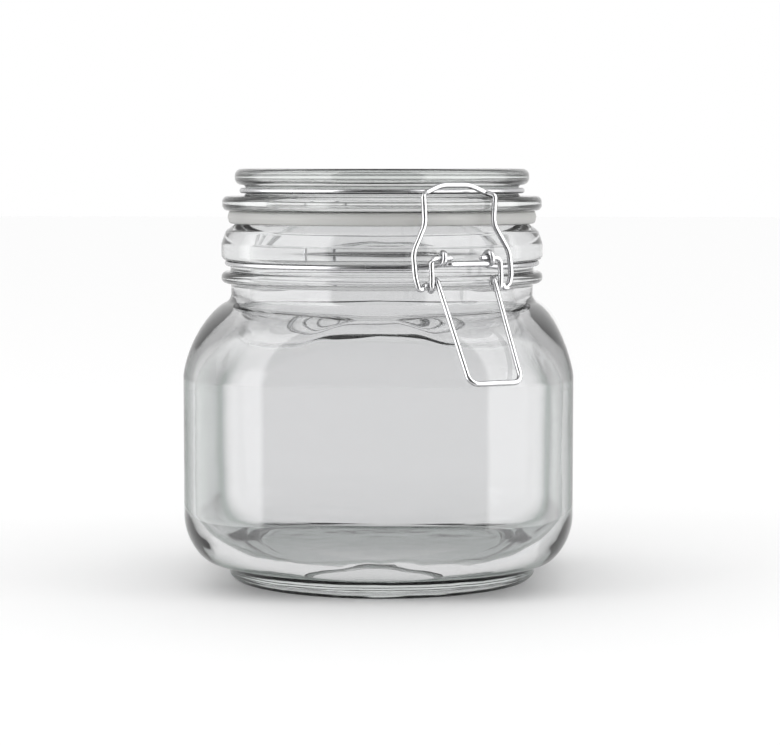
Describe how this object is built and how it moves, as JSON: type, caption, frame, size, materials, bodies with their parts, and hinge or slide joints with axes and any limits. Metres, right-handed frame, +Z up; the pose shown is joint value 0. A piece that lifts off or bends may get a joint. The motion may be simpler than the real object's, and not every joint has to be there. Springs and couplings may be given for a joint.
{
  "type": "preserving jar",
  "caption": "Clear glass preserving jar with a squared body, round mouth, hinged glass lid on a rubber ring, and a bent-wire clasp that pulls the lid shut.",
  "frame": {"origin": "on the jar's axis at the plane it stands on", "axes": "+Z up; the body's four flat sides face along X and Y, with -Y the front; the clasp stands 30 degrees from -Y towards +X and the lid's hinge straight behind it"},
  "size_m": [0.1148, 0.1223, 0.1236],
  "materials": {
    "glass": "clear pressed soda-lime glass, faintly green in the thick parts",
    "rubber": "pale matt sealing rubber",
    "wire": "bright drawn steel wire"
  },
  "bodies": {
    "jar": {"jar_glass": "glass", "neck_ring": "wire"},
    "lid": {"lid_glass": "glass", "lid_ring": "wire", "gasket": "rubber"},
    "lever": {"lever": "wire"},
    "bail": {"bail": "wire"}
  },
  "joints": [
    {"name": "lever_hinge", "type": "hinge", "parent": "jar", "child": "lever", "pos_m": [0.0261, -0.04521, 0.0982], "axis": [-0.866, -0.5, 0], "range_deg": [0, 100]},
    {"name": "bail_hinge", "type": "hinge", "parent": "lever", "child": "bail", "pos_m": [0.0255, -0.04417, 0.0906], "axis": [0.866, 0.5, 0], "range_deg": [0, 145]},
    {"name": "lid_hinge", "type": "hinge", "parent": "jar", "child": "lid", "pos_m": [-0.0263, 0.04555, 0.108], "axis": [-0.866, -0.5, 0], "range_deg": [0, 110]}
  ],
  "couplings": [
    {"joint": "bail_hinge", "follows": "lever_hinge", "ratio": 1.45}
  ]
}
